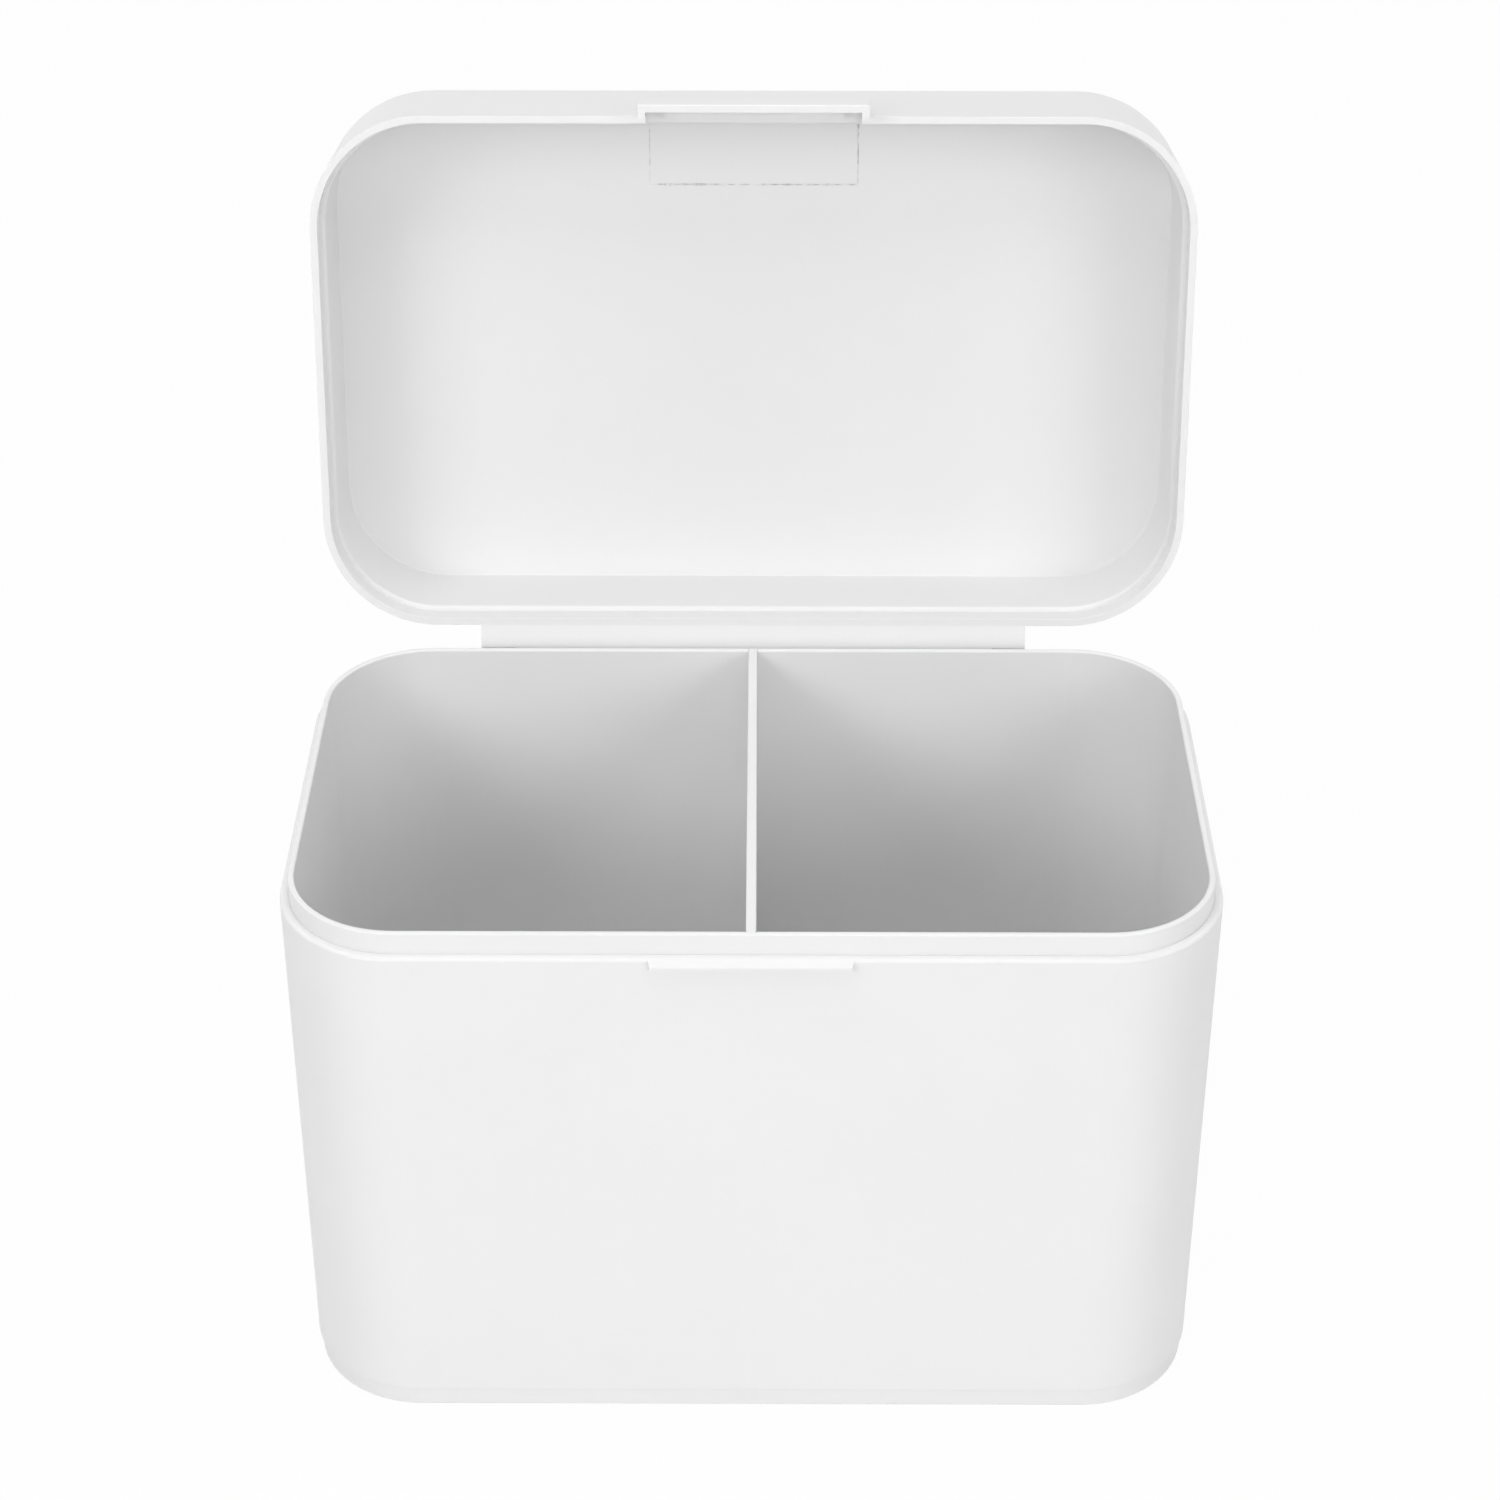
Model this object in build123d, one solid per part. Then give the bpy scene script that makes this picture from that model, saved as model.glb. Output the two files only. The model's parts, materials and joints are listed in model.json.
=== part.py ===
import os
from math import asin, atan2, cos, hypot, radians, sin, sqrt

from build123d import *

# Box outline, all sizes in millimetres
body_width = 150.0
body_depth = 90.0
corner_radius = 19.5
shoulder_height = 93.0
draft_inset = 0.4
floor_thickness = 2.2
floor_round = 2.5
foot_height = 3.6
foot_inset = 0.5
edge_round = 0.4

# Lip that stands up inside the shoulder ledge, with a narrow gutter along its foot
shoulder_ledge = 1.5
shoulder_round = 0.6
gutter_width = 0.25
gutter_depth = 0.12
lip_thickness = 1.0
lip_height = 3.75
lip_round = 0.35

# Divider panel
divider_thickness = 1.6
divider_groove = 0.6
divider_round = 0.3
divider_fit = 0.02

# Lid, drawn shut and then swung open
lid_height = 24.0
lid_plate = 2.8
lid_wall = 2.1
lid_top_round = 1.2
lid_crease_round = 0.2
rim_round = 0.1
step_round = 0.5
seat_gap = 0.1
lip_clearance = 0.25
lip_top_clearance = 0.45
open_angle = 100.7

# Hinge behind the rear wall
hinge_setback = 3.9
hinge_rise = 1.4
hinge_width = 96.0
leaf_thickness = 1.8
leaf_root = 0.7
barrel_radius = 2.1
boss_radius = 1.5
boss_gap = 0.25
ear_width = 5.5
ear_height = 9.5
ear_root = 1.2
hinge_gap = 0.3
stop_gap = 0.1
stop_length = 1.6
pin_radius = 0.9
pin_reach = 10.0
pin_end_gap = 0.3
pin_press_clearance = 0.01
pin_running_clearance = 0.05

# Front catch: a ledge on the tub and the tab that covers it
ledge_width = 32.4
ledge_reach = 1.25
ledge_fall = 0.45
ledge_height = 0.85
ledge_level = 0.5
ledge_round = 0.5
ledge_end_slant = 0.5
tab_cavity_width = 36.0
tab_cheek = 1.2
tab_wall = 1.3
tab_clearance = 0.2
tab_drop = 4.0
tab_rise = 3.0
tab_top_chamfer = 0.8
tab_edge_round = 0.25
bead_width = 31.7
bead_height = 1.8
bead_reach = 1.75
bead_gap = 0.1
bead_end_slant = 0.9

# Places that follow from the sizes above
wall = shoulder_ledge + lip_thickness
tub_height = shoulder_height + lip_height
rear_face = body_depth / 2
front_face = -body_depth / 2
rim_wall = shoulder_ledge - lip_clearance
rim_height = shoulder_height + seat_gap
step_height = tub_height + lip_top_clearance
lid_top = shoulder_height + lid_height
hinge_y = rear_face + hinge_setback
hinge_z = shoulder_height + hinge_rise
hinge_axis = Axis((0, hinge_y, hinge_z), (1, 0, 0))
leaf_top = rim_height + leaf_thickness
barrel_half = hinge_width / 2 - ear_width - hinge_gap
ear_inner = hinge_width / 2 - ear_width
tab_inner = front_face - ledge_reach - tab_clearance
tab_outer = tab_inner - tab_wall


def outline(inset, height):
    # Rounded rectangle of the box, drawn in from its widest outline
    width = body_width - 2 * inset
    depth = body_depth - 2 * inset
    return Pos(0, 0, height) * RectangleRounded(width, depth, corner_radius - inset)


def drafted(low_inset, low, high_inset, high):
    # Straight block whose sides lean in a little towards the bottom
    return loft([outline(low_inset, low), outline(high_inset, high)], ruled=True)


def straight(inset, low, high):
    return extrude(outline(inset, low), high - low)


def slab(x_range, y_range, z_range):
    # Block between two corners
    low, high = zip(x_range, y_range, z_range)
    size = [b - a for a, b in zip(low, high)]
    return Pos(*low) * Box(*size, align=(Align.MIN, Align.MIN, Align.MIN))


def across(profile, start, length):
    # Profile drawn in Y and Z, drawn out along X
    return extrude(Plane.YZ.offset(start) * profile, length)


def rod(radius, start, length):
    # Round bar along the hinge axis
    return across(Pos(hinge_y, hinge_z) * Circle(radius), start, length)


def trapezoid(root_y, tip_y, width, slant, low, high):
    # Bar along X, narrower at its tip than at its root
    half = width / 2
    corners = [(-half, root_y), (half, root_y), (half - slant, tip_y), (slant - half, tip_y)]
    return extrude(Pos(0, 0, low) * make_face(Polyline(corners, close=True)), high - low)


def bottom_edges(solid):
    return solid.edges().group_by(Axis.Z)[0]


def top_edges(solid):
    return solid.edges().group_by(Axis.Z)[-1]


def tub_cavity(grow):
    # Hollow of the tub, grown into its walls and floor
    floor = floor_thickness - grow
    return drafted(wall + draft_inset - grow, floor, wall - grow, tub_height)


def divider_space(fit):
    # Upright slice of the tub that the divider and its grooves share
    half = divider_thickness / 2 + fit
    slice_block = slab((-half, half), (front_face, rear_face), (0, tub_height))
    return slice_block & tub_cavity(divider_groove - divider_fit + fit)


def make_ear(start):
    # Bearing ear on the rear wall, under and behind the strap, with the post that stops the lid
    root = rear_face - ear_root
    saddle = hinge_z - barrel_radius - hinge_gap
    neck = hinge_y + hinge_gap
    swing = radians(open_angle)
    leaf_back = leaf_top - hinge_z + hinge_gap
    post_top = (hinge_setback - stop_gap) / sin(swing)
    lean = -cos(swing) / sin(swing)
    post_front = leaf_back / sin(swing) + lean * post_top
    post_back = post_front + stop_length
    corners = [
        (root, shoulder_height - ear_height - hinge_setback),
        (root, saddle),
        (neck, saddle),
        (neck, hinge_z),
        (hinge_y + post_front, hinge_z),
        (hinge_y + post_front, hinge_z + post_top - lean * post_front),
        (hinge_y + post_back, hinge_z + post_top - lean * post_back),
        (hinge_y + post_back, shoulder_height - ear_height / 2),
    ]
    profile = make_face(Polyline(corners, close=True)) + Pos(hinge_y, hinge_z) * Circle(boss_radius)
    return across(profile, start, ear_width)


def make_catch_ledge():
    # Ledge under the lid's tab: level with the shoulder's flat at its root, then falling to a rounded tip
    root = front_face + wall / 2
    tip = front_face - ledge_reach
    tip_top = shoulder_height - ledge_fall
    tip_bottom = tip_top - ledge_height
    corners = [
        (root, tip_bottom),
        (root, shoulder_height),
        (front_face + ledge_level, shoulder_height),
        (tip, tip_top),
        (tip, tip_bottom),
    ]
    profile = make_face(Polyline(corners, close=True))
    profile = fillet(profile.vertices().group_by(Axis.X)[0].sort_by(Axis.Y)[-1], ledge_round)
    bar = trapezoid(root, tip, ledge_width, ledge_end_slant, tip_bottom, shoulder_height)
    return bar & across(profile, -ledge_width / 2, ledge_width)


def make_tub():
    shell = drafted(draft_inset, foot_height, 0, shoulder_height)
    shell = fillet(top_edges(shell), shoulder_round)
    shell = fillet(bottom_edges(shell), edge_round)
    foot = straight(draft_inset + foot_inset, 0, foot_height + edge_round)
    shell += fillet(bottom_edges(foot), edge_round)
    shell += make_catch_ledge()
    shell -= straight(shoulder_ledge - gutter_width, shoulder_height - gutter_depth, shoulder_height)
    shell += straight(shoulder_ledge, shoulder_height - wall, tub_height)
    shell -= fillet(bottom_edges(tub_cavity(0)), floor_round)
    shell = fillet(top_edges(shell), lip_round)
    shell -= divider_space(divider_fit)
    for start in (-hinge_width / 2, ear_inner):
        shell += make_ear(start)
        shell -= rod(pin_radius + pin_press_clearance, start, ear_width)
    return shell


def make_divider():
    panel = divider_space(0)
    return fillet(top_edges(panel).filter_by(Axis.Y), divider_round)


def make_tab():
    # Thumb tab on the front of the lid, hanging past the rim in front of the tub
    half = tab_cavity_width / 2 + tab_cheek
    block = slab((-half, half), (tab_outer, front_face + rim_wall / 2),
                 (shoulder_height - tab_drop, shoulder_height + tab_rise))
    front = block.faces().sort_by(Axis.Y)[0]
    block = chamfer(front.edges().sort_by(Axis.Z)[-1], tab_top_chamfer)
    front = block.faces().sort_by(Axis.Y)[0]
    block = fillet(front.edges().sort_by(Axis.Z)[:3], tab_edge_round)
    return block - slab((-half, half), (front_face - lip_clearance, rear_face), (0, rim_height))


def make_tab_cavity():
    half = tab_cavity_width / 2
    return slab((-half, half), (tab_inner, front_face + rim_wall),
                (shoulder_height - tab_drop, shoulder_height + tab_rise - tab_wall))


def make_strap():
    # Flat hinge strap from the rim to the barrel, which carries on its underside without a step.
    # At both ends it passes under and in front of an ear, so there it has no barrel behind the axis.
    drop = hinge_z - rim_height
    reach = hypot(hinge_setback, drop)
    slope = atan2(drop, hinge_setback) - asin(barrel_radius / reach)
    run = sqrt(reach**2 - barrel_radius**2)
    root = rear_face - leaf_root
    corners = [
        (root, rim_height),
        (rear_face, rim_height),
        (rear_face + run * cos(slope), rim_height + run * sin(slope)),
        (hinge_y, hinge_z),
        (hinge_y, leaf_top),
        (root, leaf_top),
    ]
    centre = Pos(hinge_y, hinge_z)
    middle = make_face(Polyline(corners, close=True)) + centre * Circle(barrel_radius)
    before_axis = Rectangle(body_depth, body_depth, align=(Align.MAX, Align.MAX))
    end = (middle & Pos(hinge_y, leaf_top) * before_axis) - centre * Circle(boss_radius + boss_gap)
    half = hinge_width / 2
    strap = across(middle, -barrel_half, 2 * barrel_half)
    for start in (-half, barrel_half):
        strap += across(end, start, half - barrel_half)
    return strap


def make_lid():
    shell = fillet(top_edges(straight(0, rim_height, lid_top)), lid_top_round)
    hollow = straight(lid_wall, rim_height, lid_top - lid_plate)
    shell -= fillet(top_edges(hollow), lid_crease_round)
    shell -= straight(rim_wall, rim_height, step_height)
    step_face = shell.faces().filter_by(Axis.Z).group_by(Axis.Z)[1][0]
    shell = fillet(step_face.inner_wires()[0].edges(), step_round)
    shell = fillet(bottom_edges(shell), rim_round)
    shell += make_tab()
    shell -= make_tab_cavity()
    bead_low = shoulder_height + bead_gap
    shell += trapezoid(tab_inner - tab_wall / 2, tab_inner + bead_reach, bead_width, bead_end_slant,
                       bead_low, bead_low + bead_height)
    shell += make_strap()
    bore_length = pin_reach + pin_end_gap
    for start in (-barrel_half, barrel_half - bore_length):
        shell -= rod(pin_radius + pin_running_clearance, start, bore_length)
    return shell.rotate(hinge_axis, -open_angle)


def make_pin(side):
    length = ear_width + hinge_gap + pin_reach
    start = hinge_width / 2 - length if side > 0 else -hinge_width / 2
    pin = rod(pin_radius, start, length)
    return chamfer(pin.edges(), pin_end_gap)


parts = {
    "tub": make_tub(),
    "divider": make_divider(),
    "lid": make_lid(),
    "hinge_pin_left": make_pin(-1),
    "hinge_pin_right": make_pin(1),
}

os.makedirs("parts", exist_ok=True)
for name, shape in parts.items():
    export_step(shape, f"parts/{name}.step")
    print(name, round(shape.volume), len(shape.solids()), shape.is_valid)
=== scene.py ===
import json
import math
import bpy
from mathutils import Matrix, Vector


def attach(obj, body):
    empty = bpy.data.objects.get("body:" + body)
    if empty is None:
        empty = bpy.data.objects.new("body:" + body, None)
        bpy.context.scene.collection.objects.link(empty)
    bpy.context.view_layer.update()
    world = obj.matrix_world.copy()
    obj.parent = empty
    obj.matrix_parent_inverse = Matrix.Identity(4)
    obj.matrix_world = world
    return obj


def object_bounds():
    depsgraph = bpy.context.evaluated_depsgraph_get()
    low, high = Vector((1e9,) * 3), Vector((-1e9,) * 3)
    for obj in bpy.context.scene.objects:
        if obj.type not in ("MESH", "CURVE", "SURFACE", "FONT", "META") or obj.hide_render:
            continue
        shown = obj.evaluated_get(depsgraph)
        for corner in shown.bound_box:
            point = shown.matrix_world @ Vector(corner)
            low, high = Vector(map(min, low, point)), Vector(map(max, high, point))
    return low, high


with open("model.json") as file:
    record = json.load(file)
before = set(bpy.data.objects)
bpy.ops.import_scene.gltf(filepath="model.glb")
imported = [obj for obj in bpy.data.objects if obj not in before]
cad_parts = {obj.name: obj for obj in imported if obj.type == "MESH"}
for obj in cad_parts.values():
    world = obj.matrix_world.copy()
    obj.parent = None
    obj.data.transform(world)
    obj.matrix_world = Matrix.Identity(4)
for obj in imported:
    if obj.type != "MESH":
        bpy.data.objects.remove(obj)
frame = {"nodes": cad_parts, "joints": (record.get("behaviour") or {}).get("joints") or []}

cadLow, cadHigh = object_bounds()   # the CAD box, before anything is added
mm = 0.001
print("frame loaded:", ", ".join(sorted(frame["nodes"])))


def linearColour(hexColour):
    shares = [int(hexColour[i:i + 2], 16) / 255 for i in (1, 3, 5)]
    return [c / 12.92 if c <= 0.04045 else ((c + 0.055) / 1.055) ** 2.4 for c in shares] + [1.0]


# sockets go by name, or by number where a node has several of one name
def addNode(tree, kind, inputs=None, **settings):
    node = tree.nodes.new(kind)
    for name, value in settings.items():
        setattr(node, name, value)
    for socket, value in (inputs or {}).items():
        if isinstance(value, bpy.types.NodeSocket):
            tree.links.new(value, node.inputs[socket])
        else:
            node.inputs[socket].default_value = value
    return node


def newMaterial(name):
    material = bpy.data.materials.new(name)
    material.use_nodes = True
    material.node_tree.nodes.clear()
    return material, material.node_tree


plasticIor = 1.49                 # polypropylene
noiseLow, noiseHigh = 0.35, 0.65  # most of a noise texture's values lie between these

plasticLook = {
    "brightWhite": "#EAEAEA",
    "dullWhite": "#E6E6E6",
    "cloudSize": 34 * mm,         # patches where the wall cooled sooner or later
    "roughnessLow": 0.60,
    "roughnessHigh": 0.72,
    "specularLevel": 0.25,        # the eroded grain scatters half of what a polished face would mirror
    "grainSize": 0.55 * mm,       # the mould's grain is about 0.1 mm, drawn coarser so that it shows
    "grainDepth": 0.012 * mm,
    "shrinkSize": 26 * mm,        # slow waves of the shrunken walls
    "shrinkDepth": 0.05 * mm,
    "sinkWidth": 2.4 * mm,        # shallow sink on the outside of the walls that hold the divider
    "sinkDepth": 0.03 * mm,
}


# White polypropylene out of a spark-eroded mould: an even satin white with soft wide highlights,
# a grain that only shows where light grazes it, and faint broad waves from shrinkage.
def satinPolypropylene(name, sinkAtDivider=False):
    look = plasticLook
    material, tree = newMaterial(name)
    place = addNode(tree, "ShaderNodeTexCoord").outputs["Object"]
    clouds = addNode(tree, "ShaderNodeTexNoise",
                     {"Vector": place, "Scale": 1 / look["cloudSize"], "Detail": 3.0, "Roughness": 0.55})
    tint = addNode(tree, "ShaderNodeMix",
                   {0: clouds.outputs[0], 6: linearColour(look["dullWhite"]),
                    7: linearColour(look["brightWhite"])}, data_type="RGBA")
    grain = addNode(tree, "ShaderNodeTexNoise",
                    {"Vector": place, "Scale": 1 / look["grainSize"], "Detail": 2.0, "Roughness": 0.6})
    gloss = addNode(tree, "ShaderNodeMapRange",
                    {"Value": grain.outputs[0], "From Min": 0.3, "From Max": 0.7,
                     "To Min": look["roughnessLow"], "To Max": look["roughnessHigh"]})
    shrink = addNode(tree, "ShaderNodeTexNoise",
                     {"Vector": place, "Scale": 1 / look["shrinkSize"], "Detail": 1.0})
    relief = addNode(tree, "ShaderNodeBump",
                     {"Height": shrink.outputs[0], "Distance": look["shrinkDepth"]})
    if sinkAtDivider:
        across = addNode(tree, "ShaderNodeSeparateXYZ", {"Vector": place}).outputs["X"]
        offset = addNode(tree, "ShaderNodeMath", {0: across}, operation="ABSOLUTE")
        sink = addNode(tree, "ShaderNodeMapRange",
                       {"Value": offset.outputs[0], "From Max": look["sinkWidth"] / 2},
                       interpolation_type="SMOOTHSTEP")
        relief = addNode(tree, "ShaderNodeBump",
                         {"Height": sink.outputs[0], "Distance": look["sinkDepth"],
                          "Normal": relief.outputs["Normal"]})
    relief = addNode(tree, "ShaderNodeBump",
                     {"Height": grain.outputs[0], "Distance": look["grainDepth"],
                      "Normal": relief.outputs["Normal"]})
    shader = addNode(tree, "ShaderNodeBsdfPrincipled",
                     {"Base Color": tint.outputs[2], "Roughness": gloss.outputs[0], "IOR": plasticIor,
                      "Specular IOR Level": look["specularLevel"], "Normal": relief.outputs["Normal"]})
    addNode(tree, "ShaderNodeOutputMaterial", {"Surface": shader.outputs[0]})
    return material


steelLook = {
    "colour": "#C6C7C8",
    "dullColour": "#A9ABAD",
    "roughness": 0.26,
    "drawLine": 0.12 * mm,        # spacing of the drawing lines round the wire
    "drawLength": 9 * mm,         # how far each runs along it
    "drawDepth": 0.006 * mm,
}


# Stainless wire drawn through a die: a grey mirror broken into fine lines along its length.
def drawnStainless():
    look = steelLook
    material, tree = newMaterial("stainless steel wire, drawn")
    place = addNode(tree, "ShaderNodeTexCoord").outputs["Object"]
    alongScale, roundScale = 1 / look["drawLength"], 1 / look["drawLine"]
    along = addNode(tree, "ShaderNodeMapping",
                    {"Vector": place, "Scale": (alongScale, roundScale, roundScale)})
    lines = addNode(tree, "ShaderNodeTexNoise", {"Vector": along.outputs[0], "Scale": 1.0, "Detail": 2.0})
    tint = addNode(tree, "ShaderNodeMix",
                   {0: lines.outputs[0], 6: linearColour(look["dullColour"]),
                    7: linearColour(look["colour"])}, data_type="RGBA")
    relief = addNode(tree, "ShaderNodeBump", {"Height": lines.outputs[0], "Distance": look["drawDepth"]})
    shader = addNode(tree, "ShaderNodeBsdfPrincipled",
                     {"Base Color": tint.outputs[2], "Metallic": 1.0, "Roughness": look["roughness"],
                      "Normal": relief.outputs["Normal"]})
    addNode(tree, "ShaderNodeOutputMaterial", {"Surface": shader.outputs[0]})
    return material


flashShadeLook = {
    "paleGrey": "#E4E4E4",
    # the darker grey is painted shade, not a colour of the plastic
    "paintedShadeGrey": "#BCBCBC",
    "shadePatchSize": 1.3 * mm,
    "roughness": 0.62,
    "tearSize": 0.25 * mm,
    "tearDepth": 0.03 * mm,
}


# Polypropylene flash torn off along a mould joint: matt and ragged, greyed in patches with painted shade
# for the shade that gathers along the joint line.
def flashWithPaintedShade():
    look = flashShadeLook
    material, tree = newMaterial("polypropylene flash, torn, painted shade")
    place = addNode(tree, "ShaderNodeTexCoord").outputs["Object"]
    shadeNoise = addNode(tree, "ShaderNodeTexNoise",
                   {"Vector": place, "Scale": 1 / look["shadePatchSize"], "Detail": 2.0})
    patches = addNode(tree, "ShaderNodeMapRange",
                      {"Value": shadeNoise.outputs[0], "From Min": noiseLow, "From Max": noiseHigh},
                      interpolation_type="SMOOTHSTEP")
    # painted shade: grey patches darken the line where shade falls in the ragged joint
    tint = addNode(tree, "ShaderNodeMix",
                   {0: patches.outputs[0], 6: linearColour(look["paintedShadeGrey"]),
                    7: linearColour(look["paleGrey"])}, data_type="RGBA")
    tear = addNode(tree, "ShaderNodeTexNoise",
                   {"Vector": place, "Scale": 1 / look["tearSize"], "Detail": 2.0})
    relief = addNode(tree, "ShaderNodeBump", {"Height": tear.outputs[0], "Distance": look["tearDepth"]})
    shader = addNode(tree, "ShaderNodeBsdfPrincipled",
                     {"Base Color": tint.outputs[2], "Roughness": look["roughness"], "IOR": plasticIor,
                      "Normal": relief.outputs["Normal"]})
    addNode(tree, "ShaderNodeOutputMaterial", {"Surface": shader.outputs[0]})
    return material


whitePlastic = satinPolypropylene("white polypropylene, satin moulded")
tubPlastic = satinPolypropylene("white polypropylene, satin moulded with sink line", sinkAtDivider=True)
flashPaintedShade = flashWithPaintedShade()
pinSteel = drawnStainless()
nodeFinish = {
    "tub": tubPlastic,
    "divider": whitePlastic,
    "lid": whitePlastic,
    "hinge_pin_left": pinSteel,
    "hinge_pin_right": pinSteel,
}
for nodeName, finish in nodeFinish.items():
    mesh = frame["nodes"][nodeName].data
    mesh.materials.clear()
    mesh.materials.append(finish)
print("materials on", len(nodeFinish), "CAD nodes")


# How the lid stands at rest: turned back from shut about the hinge, as far as the joint goes
hinge = frame["joints"][0]
hingePoint = Vector(hinge["pos_m"])
openAngle = math.radians(hinge["range_deg"][1])
swing = Matrix.Rotation(-openAngle, 4, "X")
lidOpened = Matrix.Translation(hingePoint) @ swing @ Matrix.Translation(-hingePoint)

flashLine = {
    "halfWidth": 18.1 * mm,       # the mould's sliding core, which frees the thumb tab's hood
    "rearEdge": -29.0 * mm,       # how far back from the front skirt the core reaches
    "frontEdge": -42.8 * mm,
    "plateThickness": 2.8 * mm,
    "leftShare": 0.35,            # each side's share of the line's full width
    "rearShare": 0.9,
    "rightShare": 1.0,
    "lineRadius": 0.22 * mm,
    "unevenness": 0.85,           # how much of the width comes and goes along the line
    "unevenSize": 1.6 * mm,
    "pitch": 0.3 * mm,
    "profilePoints": 8,
    "seed": 7,
}


# a thin bead along a curve, thick here and almost gone there
def flashTree():
    tree = bpy.data.node_groups.new("uneven flash line", "GeometryNodeTree")
    sockets = tree.interface
    sockets.new_socket("Geometry", in_out="INPUT", socket_type="NodeSocketGeometry")
    for name, kind in (("Line Radius", "NodeSocketFloat"), ("Unevenness", "NodeSocketFloat"),
                       ("Uneven Size", "NodeSocketFloat"), ("Pitch", "NodeSocketFloat"),
                       ("Profile Points", "NodeSocketInt"), ("Seed", "NodeSocketInt"),
                       ("Material", "NodeSocketMaterial")):
        sockets.new_socket(name, in_out="INPUT", socket_type=kind)
    sockets.new_socket("Geometry", in_out="OUTPUT", socket_type="NodeSocketGeometry")
    sizes = addNode(tree, "NodeGroupInput").outputs
    path = addNode(tree, "GeometryNodeResampleCurve",
                   {"Curve": sizes["Geometry"], "Length": sizes["Pitch"]}, mode="LENGTH")
    place = addNode(tree, "GeometryNodeInputPosition")
    perMetre = addNode(tree, "ShaderNodeMath", {0: 1.0, 1: sizes["Uneven Size"]}, operation="DIVIDE")
    swell = addNode(tree, "ShaderNodeTexNoise",
                    {"Vector": place.outputs[0], "W": sizes["Seed"], "Scale": perMetre.outputs[0],
                     "Detail": 2.0}, noise_dimensions="4D")
    leastShare = addNode(tree, "ShaderNodeMath", {0: 1.0, 1: sizes["Unevenness"]}, operation="SUBTRACT")
    share = addNode(tree, "ShaderNodeMapRange",
                    {"Value": swell.outputs[0], "From Min": noiseLow, "From Max": noiseHigh,
                     "To Min": leastShare.outputs[0]})
    full = addNode(tree, "GeometryNodeInputRadius")
    width = addNode(tree, "ShaderNodeMath", {0: full.outputs[0], 1: share.outputs[0]}, operation="MULTIPLY")
    profile = addNode(tree, "GeometryNodeCurvePrimitiveCircle",
                      {"Resolution": sizes["Profile Points"], "Radius": sizes["Line Radius"]})
    bead = addNode(tree, "GeometryNodeCurveToMesh",
                   {"Curve": path.outputs[0], "Profile Curve": profile.outputs[0],
                    "Scale": width.outputs[0], "Fill Caps": True})
    real = addNode(tree, "GeometryNodeRealizeInstances", {"Geometry": bead.outputs[0]})
    dressed = addNode(tree, "GeometryNodeSetMaterial",
                      {"Geometry": real.outputs[0], "Material": sizes["Material"]})
    addNode(tree, "NodeGroupOutput", {"Geometry": dressed.outputs[0]})
    return tree


def makeFlashLine():
    size = flashLine
    lidMesh = frame["nodes"]["lid"].data
    lidTop = max((lidOpened.inverted() @ v.co).z for v in lidMesh.vertices)
    plateFace = lidTop - size["plateThickness"]
    route = bpy.data.curves.new("flash line route", "CURVE")
    route.dimensions = "3D"
    left, right = -size["halfWidth"], size["halfWidth"]
    sides = [(left, "frontEdge", left, "rearEdge", "leftShare"),
             (left, "rearEdge", right, "rearEdge", "rearShare"),
             (right, "rearEdge", right, "frontEdge", "rightShare")]
    for startX, startEdge, endX, endEdge, share in sides:
        line = route.splines.new("POLY")
        line.points.add(1)
        for point, x, edge in zip(line.points, (startX, endX), (startEdge, endEdge)):
            point.co = (lidOpened @ Vector((x, size[edge], plateFace))).to_4d()
            point.radius = size[share]
    host = bpy.data.objects.new("flash line host", route)
    bpy.context.scene.collection.objects.link(host)
    modifier = host.modifiers.new("flash", "NODES")
    modifier.node_group = flashTree()
    values = {"Line Radius": size["lineRadius"], "Unevenness": size["unevenness"],
              "Uneven Size": size["unevenSize"], "Pitch": size["pitch"],
              "Profile Points": size["profilePoints"], "Seed": size["seed"], "Material": flashPaintedShade}
    for socket in modifier.node_group.interface.items_tree:
        if socket.in_out == "INPUT" and socket.name in values:
            modifier[socket.identifier] = values[socket.name]
    depsgraph = bpy.context.evaluated_depsgraph_get()
    mesh = bpy.data.meshes.new_from_object(host.evaluated_get(depsgraph))
    bpy.data.objects.remove(host)
    piece = bpy.data.objects.new("lid_core_line", mesh)
    bpy.context.scene.collection.objects.link(piece)
    for face in mesh.polygons:
        face.use_smooth = True
    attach(piece, "lid")
    print("core line:", len(mesh.polygons), "faces")


makeFlashLine()

studio = {
    "floorWhite": "#E6E6E6",
    "floorSize": 6.0,
    "floorDrop": 0.1 * mm,        # keeps the floor just off the tub's underside
    "floorGlow": 0.96,            # share of the floor that shows plain white to the camera
    "skyStrength": 0.2,           # what the room gives the object
    "whiteStrength": 1.0,         # what the camera and the reflections see
}
lamps = {
    "overhead softbox": {"place": (0, -0.12, 1.48), "width": 1.4, "height": 1.4, "power": 12.0},
    "rear overhead softbox": {"place": (0, 0.9, 1.3), "width": 1.4, "height": 0.6, "power": 2.4},
    "low front softbox": {"place": (0, -1.7, 0.55), "width": 2.2, "height": 0.9, "power": 8.2},
    "left softbox": {"place": (-1.12, -1.12, 1.0), "width": 0.8, "height": 0.8, "power": 9.0},
    "right softbox": {"place": (1.16, -1.16, 0.75), "width": 0.8, "height": 0.8, "power": 6.7},
    "rear left fill": {"place": (-1.5, 1.2, 0.3), "width": 0.8, "height": 0.5, "power": 6.0},
    "rear right fill": {"place": (1.5, 1.2, 0.3), "width": 0.8, "height": 0.5, "power": 6.0},
}


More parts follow.
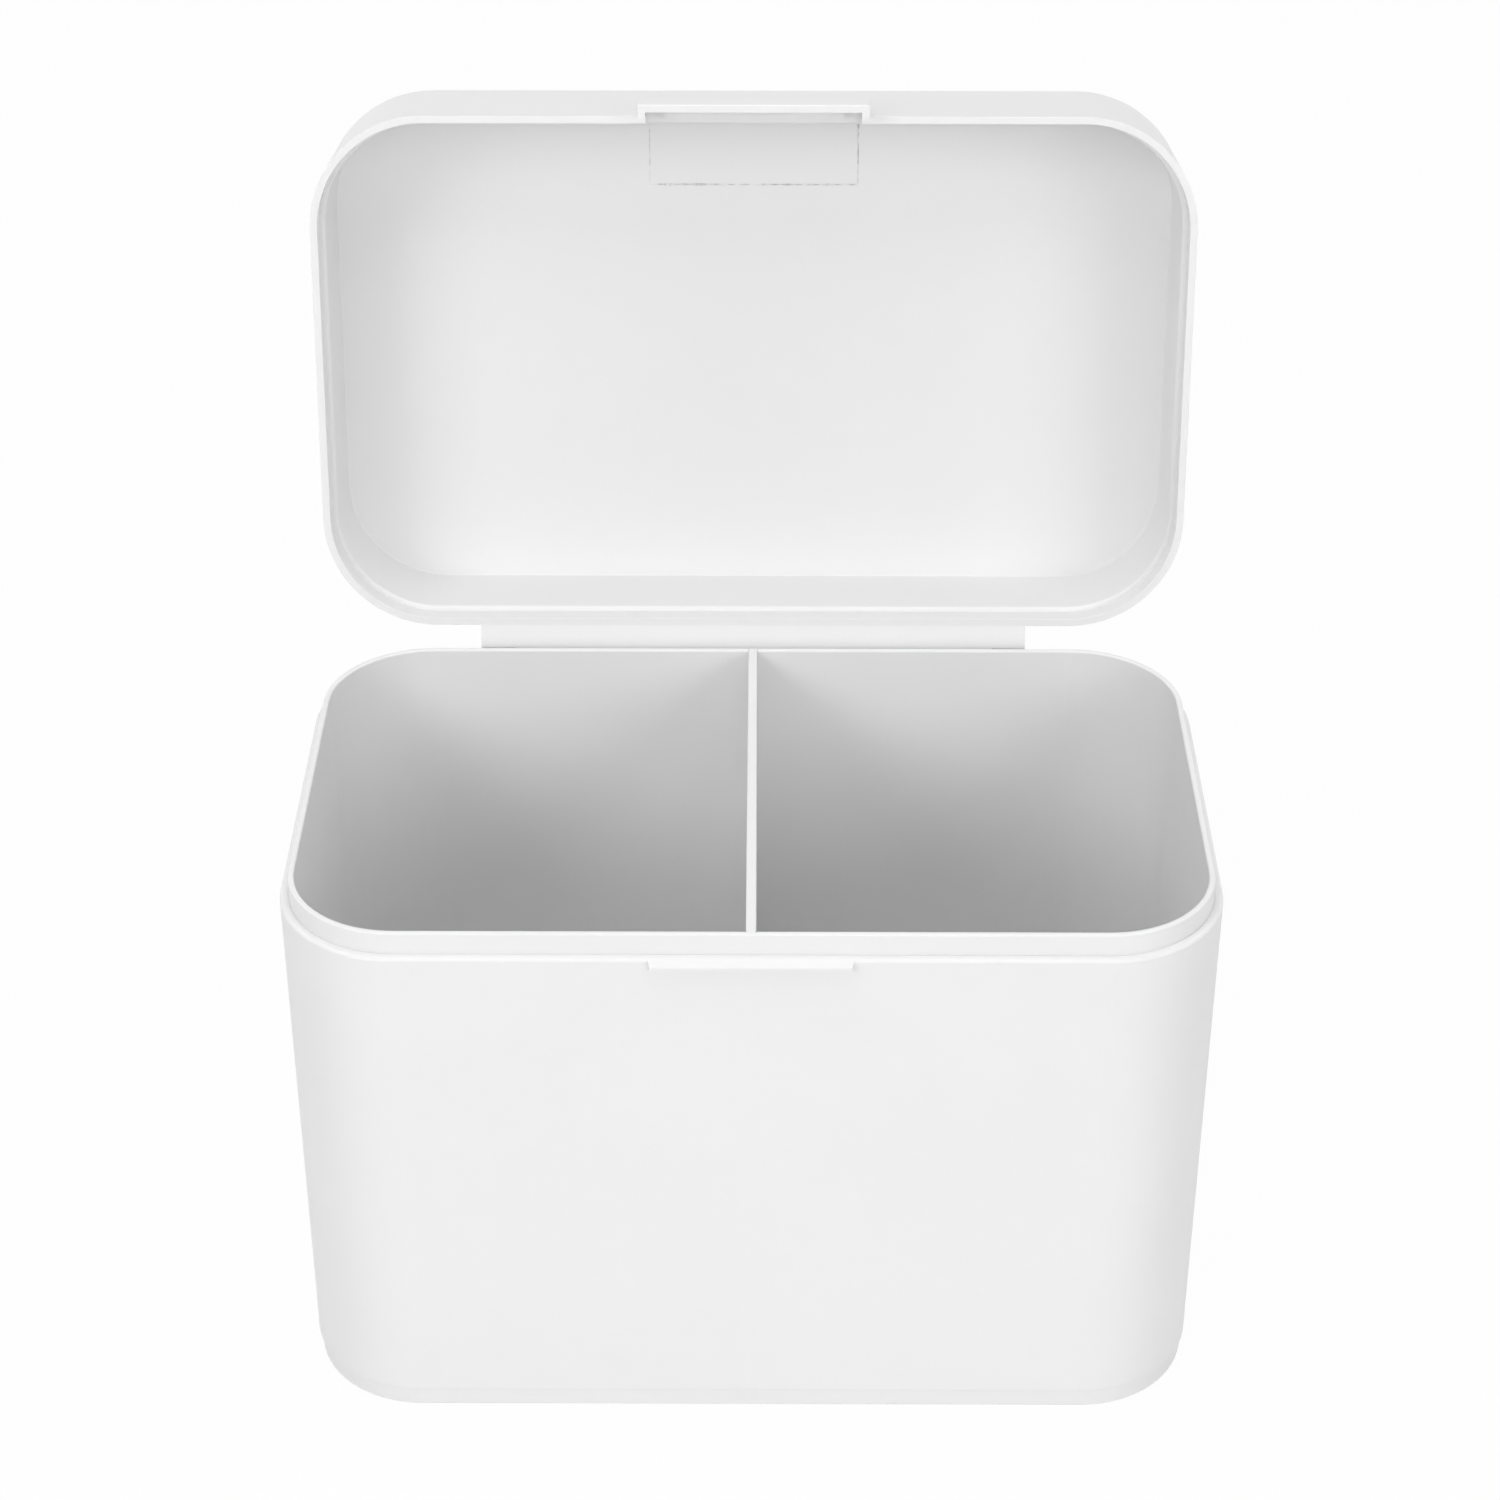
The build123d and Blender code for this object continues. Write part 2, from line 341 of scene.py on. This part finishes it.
# 1 for the rays that show the white room, 0 for those that light the object
def roomSeen(tree):
    rays = addNode(tree, "ShaderNodeLightPath").outputs
    direct = addNode(tree, "ShaderNodeMath",
                     {0: rays["Is Camera Ray"], 1: rays["Is Glossy Ray"]}, operation="MAXIMUM")
    seen = addNode(tree, "ShaderNodeMath",
                   {0: direct.outputs[0], 1: rays["Is Transmission Ray"]}, operation="MAXIMUM")
    return seen.outputs[0]


def makeStudio():
    size = studio["floorSize"] / 2
    mesh = bpy.data.meshes.new("floor")
    corners = [(-size, -size, 0), (size, -size, 0), (size, size, 0), (-size, size, 0)]
    mesh.from_pydata(corners, [], [(0, 1, 2, 3)])
    mesh.transform(Matrix.Translation((0, 0, -studio["floorDrop"])))
    floor = bpy.data.objects.new("floor", mesh)
    bpy.context.scene.collection.objects.link(floor)
    material, tree = newMaterial("matt white paper")
    share = addNode(tree, "ShaderNodeMath",
                    {0: roomSeen(tree), 1: studio["floorGlow"]}, operation="MULTIPLY")
    paper = addNode(tree, "ShaderNodeBsdfDiffuse", {"Color": linearColour(studio["floorWhite"])})
    plain = addNode(tree, "ShaderNodeEmission", {"Strength": studio["whiteStrength"]})
    both = addNode(tree, "ShaderNodeMixShader",
                   {0: share.outputs[0], 1: paper.outputs[0], 2: plain.outputs[0]})
    addNode(tree, "ShaderNodeOutputMaterial", {"Surface": both.outputs[0]})
    mesh.materials.append(material)

    world = bpy.data.worlds.new("white room")
    world.use_nodes = True
    tree = world.node_tree
    tree.nodes.clear()
    level = addNode(tree, "ShaderNodeMapRange",
                    {"Value": roomSeen(tree), "To Min": studio["skyStrength"],
                     "To Max": studio["whiteStrength"]})
    sky = addNode(tree, "ShaderNodeBackground", {"Color": (1, 1, 1, 1), "Strength": level.outputs[0]})
    addNode(tree, "ShaderNodeOutputWorld", {"Surface": sky.outputs[0]})
    bpy.context.scene.world = world

    aim = (cadLow + cadHigh) / 2
    for name, lamp in lamps.items():
        light = bpy.data.lights.new(name, "AREA")
        light.shape = "RECTANGLE"
        light.size = lamp["width"]
        light.size_y = lamp["height"]
        light.energy = lamp["power"]
        holder = bpy.data.objects.new(name, light)
        holder.location = lamp["place"]
        holder.rotation_euler = (aim - holder.location).to_track_quat("-Z", "Y").to_euler()
        bpy.context.scene.collection.objects.link(holder)
    bpy.context.scene.view_settings.view_transform = "Standard"
    print("studio:", len(lamps), "softboxes")


makeStudio()

view = {
    "aim": Vector((-0.33, 0.0, 102.97)) * mm,
    "distance": 563.79 * mm,
    "elevation": math.radians(32.216),
    "azimuth": math.radians(0.25),
    "focalLength": 82.575,
    "sensorWidth": 36.0,
    "nearClip": 10 * mm,
}


def makeCamera():
    lens = bpy.data.cameras.new("photo view")
    lens.lens = view["focalLength"]
    lens.sensor_width = view["sensorWidth"]
    lens.clip_start = view["nearClip"]
    rise, turn = view["elevation"], view["azimuth"]
    back = Vector((math.sin(turn) * math.cos(rise), -math.cos(turn) * math.cos(rise), math.sin(rise)))
    camera = bpy.data.objects.new("photo view", lens)
    camera.location = view["aim"] + back * view["distance"]
    camera.rotation_euler = (-back).to_track_quat("-Z", "Y").to_euler()
    bpy.context.scene.collection.objects.link(camera)
    bpy.context.scene.camera = camera
    print("camera at", [round(c / mm) for c in camera.location], "mm")


makeCamera()
